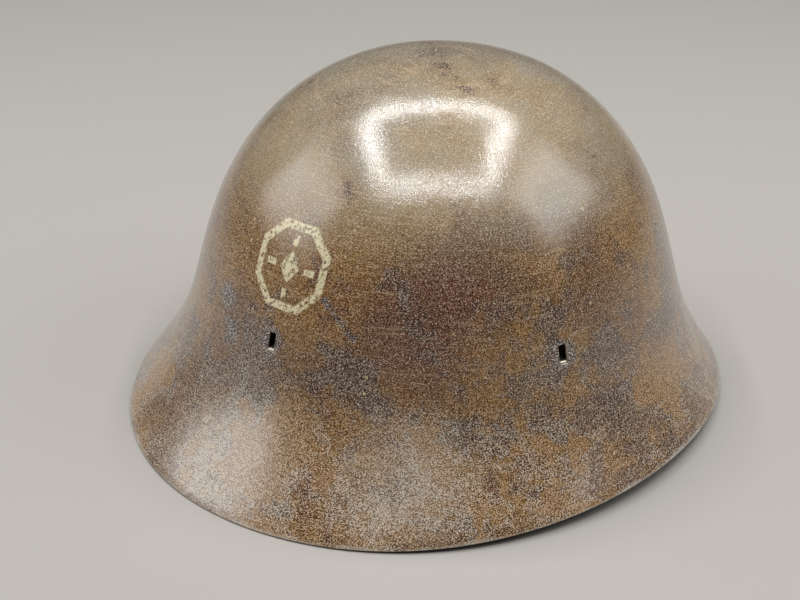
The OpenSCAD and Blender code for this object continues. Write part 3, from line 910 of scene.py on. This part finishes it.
def make_rivets():
    """Flat heads inside the band and domed heads outside the hangers, as one set."""
    inner = -2 * SNUG
    outer = HANGER_IN + 2 * HANGER_LEATHER - BAND_IN + 2 * SNUG
    # The flat head's rounded edge: how far out it has come, and how wide it is, as shares
    head = ((1, 0), (1, 0.8), (0.85, 0.9), (0.5, 0.99), (0, 1))
    profile = [(inner - RIVET_FLAT * out, RIVET_HEAD_R * wide) for out, wide in head]
    profile += [(inner, RIVET_SHANK_R), (outer, RIVET_SHANK_R), (outer, RIVET_HEAD_R)]
    profile += [(outer + RIVET_DOME * y, RIVET_HEAD_R * x) for x, y in arc((0, 0), 1, 12, 90, 7)]
    rivet = turned("rivet", profile, 32)
    places = [square_to_oval(radians(a), BAND_IN, RIVET_Z) for a in HANGER_ANGLES.values()]
    rivets = copied("hanger_rivet_set", rivet, places)
    finished(rivets, "bare_steel", strip_steel, "hanger_rivets", smooth=35)


make_sweatband()
for place, angle in HANGER_ANGLES.items():
    make_hanger(place, angle)
make_rivets()


# The tongues: a lap on the sweatband, an oval sweep to the crown, and a hem rolled round the cord
SWEEP_STEPS = 40
HEM_STEPS = 24
# Over this length the leather of a tongue comes free, to curl up at its sides and to ruffle; both in mm
CURL_START = 12 * MM
CURL = 0.7
RUFFLE = 0.3


def tongue_path():
    """The points of a tongue's inner face, each with its outward direction."""
    reach = TONGUE_IN - CORD_RING_R
    path = [((TONGUE_IN, BAND_TOP - lap), (1, 0)) for lap in (TONGUE_LAP, TONGUE_LAP / 2)]
    for i in range(SWEEP_STEPS + 1):
        a = radians(90 * i / SWEEP_STEPS)
        out = Vector((cos(a) / reach, sin(a) / TONGUE_RISE)).normalized()
        path.append(((CORD_RING_R + reach * cos(a), TONGUE_START + TONGUE_RISE * sin(a)), out))
    for i in range(1, HEM_STEPS + 1):
        a = radians(90 + 240 * i / HEM_STEPS)
        out = Vector((cos(a), sin(a)))
        path.append((Vector((CORD_RING_R, CORD_Z)) + HEM_R * out, out))
    return path


def tongue_half_width(r):
    share = max(0.0, r - CORD_RING_R) / (TONGUE_IN - CORD_RING_R)
    base = TONGUE_IN * sin(TONGUE_HALF_ANGLE)
    return TONGUE_TIP / 2 + (base - TONGUE_TIP / 2) * min(share, 1) ** TONGUE_WAIST


def make_tongue(place, angle):
    t = radians(angle)

    def lay(s, step):
        (r, z), (out_r, out_z) = step
        edge = asin(tongue_half_width(r) / r)
        side = 2 * s - 1
        free = max(0.0, min(1.0, (TONGUE_IN - r) / CURL_START, (r - CORD_RING_R) / CURL_START))
        lift = TONGUE_LEATHER / 2 + free * (CURL * side ** 4 + RUFFLE * sin(3 * side + angle)) * MM
        return on_oval(t + edge * side, r + lift * out_r, z + lift * out_z)
    tongue = laid_along("crown_tongue_" + place, tongue_path(), 26, lay)
    thickened(tongue, TONGUE_LEATHER, 0.4 * MM)
    finished(tongue, "strap_leather", strap_leather, "tongue_" + place)


for place, angle in TONGUE_ANGLES.items():
    make_tongue(place, angle)


# The crown cord: three strands laid round each other, and a knot of two wraps and two tails at the front
STRAND_R = 0.8 * MM
STRANDS = 3
STRAND_TURNS = 18
STRAND_STEPS = 360
WRAP_R = 2.1 * MM
WRAP_ASIDE = 1.3 * MM
WRAP_SLANT = 0.5 * MM
WRAP_STEPS = 20
WRAP_CORD_R = 1.0 * MM
TAIL_CORD_R = 1.2 * MM
# A tail of the knot in mm from the knot: to the side, to the rear and up
TAIL = ((1.5, 2, -1), (2.5, 3.5, -1.8), (3.6, 5.5, -2.6), (4.2, 8, -3.8), (4.4, 10.5, -5.4), (4.8, 12, -7.4))


def strand(start, path):
    """Points of one strand that winds round a path, which gives a point for each share of its length."""
    points = []
    for i in range(STRAND_STEPS):
        share = i / STRAND_STEPS
        here, ahead = path(share), path(share + 0.5 / STRAND_STEPS)
        along = (ahead - here).normalized()
        side = along.cross(Vector((0, 0, 1))).normalized()
        rise = side.cross(along)
        a = start + TURN * STRAND_TURNS * share
        points.append(here + (CORD_R - STRAND_R) * (side * cos(a) + rise * sin(a)))
    return points


def make_cord():
    def ring(share):
        return on_oval(TURN * share, CORD_RING_R, CORD_Z)
    starts = [TURN * i / STRANDS for i in range(STRANDS)]
    strands = [wire("strand", strand(start, ring), STRAND_R, cyclic=True) for start in starts]
    knot = Matrix.Translation(ring(0))
    for turn in (-1, 1):
        wrap = []
        for i in range(WRAP_STEPS):
            a = TURN * i / WRAP_STEPS
            aside = turn * WRAP_ASIDE + WRAP_SLANT * sin(a)
            wrap.append(knot @ Vector((aside, WRAP_R * cos(a), WRAP_R * sin(a))))
        strands.append(wire("wrap", wrap, WRAP_CORD_R, cyclic=True))
        tail = [knot @ (Vector((turn * x, y, z)) * MM) for x, y, z in TAIL]
        strands.append(wire("tail", tail, TAIL_CORD_R))
    finished(joined("crown_cord_twisted", strands), "cotton_cord", cotton, "crown_cord")


make_cord()


# Stitches of waxed thread: one modelled, the others copied to their places in each seam
STITCH_PITCH = 4.5 * MM
STITCH_LENGTH = 3.3 * MM
THREAD_R = 0.42 * MM
# How far the thread's middle lies off the leather
THREAD_LIFT = 0.1 * MM
# Two rows run round the band, so far below its top, and stop so many degrees from its slit
ROWS_BELOW_TOP = (3 * MM, 8 * MM)
SLIT_MARGIN = 2
TONGUE_MARGIN = 3
# The seams of the hems and flaps: how far from the cord and the hoop, and how wide
HEM_SEAM = 5.5 * MM
HEM_SEAM_WIDTH = 18 * MM
FLAP_SEAM = 3.2 * MM
FLAP_SEAM_WIDTH = 12 * MM


def stitch_seams():
    """The place of each stitch: two rows round the band, one on each tongue's hem and hanger's flap."""
    along = Matrix.Rotation(pi / 2, 4, "Z")
    places = []

    def row(middle, half, r, z):
        """Stitches that reach to half an angle, in degrees, on either side of the middle."""
        count = round(2 * half / degrees(STITCH_PITCH / r))
        for i in range(count):
            t = radians(middle - half + 2 * half * (i + 0.5) / count)
            places.append(square_to_oval(t, r, z) @ along)
    lap_r = TONGUE_IN + TONGUE_LEATHER + THREAD_LIFT
    for below in ROWS_BELOW_TOP:
        row(360, 180 - SLIT_MARGIN, BAND_IN - THREAD_LIFT, BAND_TOP - below)
        for angle in TONGUE_ANGLES.values():
            row(angle, degrees(TONGUE_HALF_ANGLE) - TONGUE_MARGIN, lap_r, BAND_TOP - below)
    hem_r = CORD_RING_R + HEM_SEAM
    share = HEM_SEAM / (TONGUE_IN - CORD_RING_R)
    hem_z = TONGUE_START + TONGUE_RISE * sqrt(1 - share ** 2) + TONGUE_LEATHER
    for angle in TONGUE_ANGLES.values():
        row(angle, degrees(HEM_SEAM_WIDTH / 2 / hem_r), hem_r, hem_z)
    flap_r = HANGER_IN + 2 * HANGER_LEATHER + THREAD_LIFT
    for angle in HANGER_ANGLES.values():
        row(angle, degrees(FLAP_SEAM_WIDTH / 2 / flap_r), flap_r, HOOP_Z - FLAP_SEAM)
    return places


def make_stitches():
    shape = ((-1, 0), (-0.85, 0.7), (0, 1), (0.85, 0.7), (1, 0))
    profile = [(STITCH_LENGTH / 2 * along, THREAD_R * out) for along, out in shape]
    stitch = turned("stitch", profile, 6)
    finished(copied("seam_stitches", stitch, stitch_seams()), "cotton_cord", thread, smooth=70)


LACE_R = 0.7 * MM
LACE_ROWS = 3
LACE_HALF_WIDTH = 3.4 * MM
LACE_ABOVE_EDGE = 4 * MM
LACE_BELOW_LAP = 3 * MM


def make_lacing():
    """The lace that closes the band at the rear. Its bars clear the rear ring outside; inside it slants."""
    side = LACE_HALF_WIDTH / BAND_OUT
    low, high = BAND_BOTTOM + LACE_ABOVE_EDGE, BAND_TOP - TONGUE_LAP - LACE_BELOW_LAP
    inside, outside = BAND_IN - LACE_R, BAND_OUT + LACE_R
    points = []
    for i in range(LACE_ROWS):
        z = low + (high - low) * i / (LACE_ROWS - 1)
        for hole, r in ((-side, inside), (-side, outside), (side, outside), (side, inside)):
            points.append(on_oval(pi + hole, r, z))
    finished(wire("band_lacing", points, LACE_R, roundness=3), "cotton_cord", cotton)


make_stitches()
make_lacing()


# Felt pads between the liner and the wall, pressed to the curve of both
PAD_WIDTH = 50 * MM
PAD_CLEARANCE = 0.4 * MM
PAD_EDGE = 2.4 * MM
PAD_CELL = 0.9 * MM
# The felt's unevenness: size of a tuft in mm, its height in mm, and how far the faces sink to make room
TUFTS = ((6, 0.25), (1.8, 0.12))
FELT_SINK = 0.3


def make_pad(place, angle):
    t = radians(angle)
    low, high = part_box("pad_" + place)
    inner = TONGUE_IN + TONGUE_LEATHER + PAD_CLEARANCE

    def outer(z):
        """The room inside the wall where it is narrowest."""
        return min(wall_r(pi / 2, z), wall_r(0, z) / LINER_OVAL) - 1.05 * SHEET - PAD_CLEARANCE
    depth = outer(low.z) - inner
    pad = primitive("felt_pad_" + place, "cube", size=1)
    pad.data.transform(Matrix.Diagonal((PAD_WIDTH, depth, high.z - low.z, 1)))
    modified(pad, "BEVEL", width=PAD_EDGE, segments=4)
    modified(pad, "REMESH", mode="VOXEL", voxel_size=PAD_CELL)
    for vertex in pad.data.vertices:
        x, y, z = vertex.co
        z += (low.z + high.z) / 2
        share = y / depth + 0.5
        fuzz = sum(noise.noise(vertex.co * per_mm(size)) * tuft for size, tuft in TUFTS)
        r = inner + (outer(z) - inner) * share - (FELT_SINK + fuzz) * MM * (2 * share - 1)
        vertex.co = on_oval(t + x / HOOP_R, r, z)
    closed(pad)
    finished(pad, "grey_felt", felt, "pad_" + place, smooth=70)


for place, angle in PAD_ANGLES.items():
    make_pad(place, angle)


# The rings for the chin tape, and the strips that hold them
DEE_BEND = 2.2 * MM


def make_clip(place, angle):
    layer = CLIP_SHEET / 2 + FACE_GAP
    path = []
    # Round the bar below, then round the hoop above
    for z, hole_r, start in ((BAR_Z, BAR_R, 90), (HOOP_Z, WIRE_R, 270)):
        r = hole_r + SNUG + CLIP_SHEET / 2
        pinch = degrees(asin(layer / r))
        path += arc((0, z), r, start - pinch, start - 360 + pinch, 28)
    path.append(path[0])
    place_at = square_to_oval(radians(angle), HOOP_R, 0)

    def lay(s, point):
        return place_at @ Vector((point[0], CLIP_WIDTH * (s - 0.5), point[1]))
    clip = laid_along("ring_clip_" + place, path, 4, lay)
    edit(clip, MERGE)
    thickened(clip, CLIP_SHEET, 0.15 * MM)
    finished(clip, "bare_steel", strip_steel, "clip_" + place)


def make_dee(place, angle):
    bow = arc((0, 0), DEE_R, -8, -172, 36)
    path = rounded([(0, 0), (DEE_R, 0), bow[0]], DEE_BEND) + bow[1:-1]
    path += rounded([bow[-1], (-DEE_R, 0), (0, 0)], DEE_BEND)[:-1]
    place_at = square_to_oval(radians(angle), HOOP_R, BAR_Z)
    points = [place_at @ Vector((0, x, z)) for x, z in path]
    ring = wire("chin_dee_ring_" + place, points, BAR_R, cyclic=True, roundness=5)
    finished(ring, "bare_steel", wire_steel, "dee_ring_" + place, body="chin_ring_" + place)


for place, angle in DEE_ANGLES.items():
    make_clip(place, angle)
    make_dee(place, angle)


# Camera at the photograph's angle, floor and soft studio light
CAMERA_AZIMUTH = radians(38.4)
CAMERA_ELEVATION = radians(26.49)
CAMERA_ROLL = radians(-0.2)
CAMERA_DISTANCE = 734.7 * MM
CAMERA_LENS_MM = 69.75
CAMERA_CENTRE = Vector((0, 0, 60.7 * MM))
AIM_RIGHT = -13.87 * MM
AIM_UP = -17.63 * MM


def direction(azimuth, elevation):
    """A unit vector: azimuth from the front towards the wearer's left, elevation from the horizon."""
    flat = cos(elevation)
    return Vector((sin(azimuth) * flat, -cos(azimuth) * flat, sin(elevation)))


def make_camera():
    back = direction(CAMERA_AZIMUTH, CAMERA_ELEVATION)
    right = Vector((cos(CAMERA_AZIMUTH), sin(CAMERA_AZIMUTH), 0))
    place = CAMERA_CENTRE + back * CAMERA_DISTANCE
    aim = CAMERA_CENTRE + right * AIM_RIGHT + back.cross(right) * AIM_UP
    bpy.ops.object.camera_add(location=place)
    camera = bpy.context.object
    turn = (place - aim).to_track_quat("Z", "Y").to_matrix().to_4x4() @ Matrix.Rotation(CAMERA_ROLL, 4, "Z")
    camera.rotation_euler = turn.to_euler()
    camera.data.lens = CAMERA_LENS_MM
    camera.data.clip_start = 0.01
    bpy.context.scene.camera = camera


def lamp(name, place, aim, width, height, watts, roll=0.0):
    """A soft box at place that shines towards aim."""
    bpy.ops.object.light_add(type="AREA", location=place)
    obj = bpy.context.object
    obj.name = name
    obj.data.shape = "RECTANGLE"
    obj.data.size, obj.data.size_y = width, height
    obj.data.energy = watts
    turn = (place - aim).to_track_quat("Z", "Y").to_matrix() @ Matrix.Rotation(roll, 3, "Z")
    obj.rotation_euler = turn.to_euler()


# Four strips hang in a square frame over the crown, turned with the camera; sizes in metres, power in watts
FRAME_HEIGHT = 1.1
FRAME_REACH = 0.54
STRIP_LENGTH = 1.0
STRIP_WIDTH = 0.08
STRIP_POWER = 5.2
# A soft box on either side: name, azimuth, elevation and power
BOXES = (("soft_box_left", -50, 30, 3.6), ("soft_box_right", 120, 38, 4.2))
BOX_CENTRE = Vector((0, 0, 80 * MM))
BOX_DISTANCE = 1.3
BOX_WIDTH = 0.9
BOX_HEIGHT = 0.7
FLOOR_GREY = "#b2aea8"
FLOOR_SIZE = 8
ROOM_GREY = "#d8d8d8"
ROOM_LIGHT = 0.16


def make_lights():
    for i in range(4):
        heading = CAMERA_AZIMUTH + TURN * i / 4
        place = direction(heading, 0) * FRAME_REACH + Vector((0, 0, CROWN_HEIGHT + FRAME_HEIGHT))
        below = Vector((place.x, place.y, 0))
        lamp(f"overhead_frame_{i}", place, below, STRIP_LENGTH, STRIP_WIDTH, STRIP_POWER, roll=heading)
    for name, azimuth, elevation, power in BOXES:
        place = BOX_CENTRE + direction(radians(azimuth), radians(elevation)) * BOX_DISTANCE
        lamp(name, place, BOX_CENTRE, BOX_WIDTH, BOX_HEIGHT, power)


def make_floor():
    floor = primitive("pale_floor", "plane", size=FLOOR_SIZE)
    material, add = new_material("pale_matt_board")
    # Seen from below the board is clear, so that it doesn't hide the liner
    board = add("BsdfPrincipled", {"Base Color": srgb(FLOOR_GREY), "Roughness": 0.9})
    clear = add("BsdfTransparent", {})
    below = add("NewGeometry", {}, "Backfacing")
    add("OutputMaterial", {"Surface": add("MixShader", (below, board, clear))})
    floor.data.materials.append(material)


def make_world():
    world = bpy.data.worlds.new("pale_room")
    world.use_nodes = True
    background = next(n for n in world.node_tree.nodes if n.type == "BACKGROUND")
    background.inputs["Color"].default_value = srgb(ROOM_GREY)
    background.inputs["Strength"].default_value = ROOM_LIGHT
    bpy.context.scene.world = world


make_floor()
make_lights()
make_world()
make_camera()
bpy.context.scene.view_settings.view_transform = "Standard"
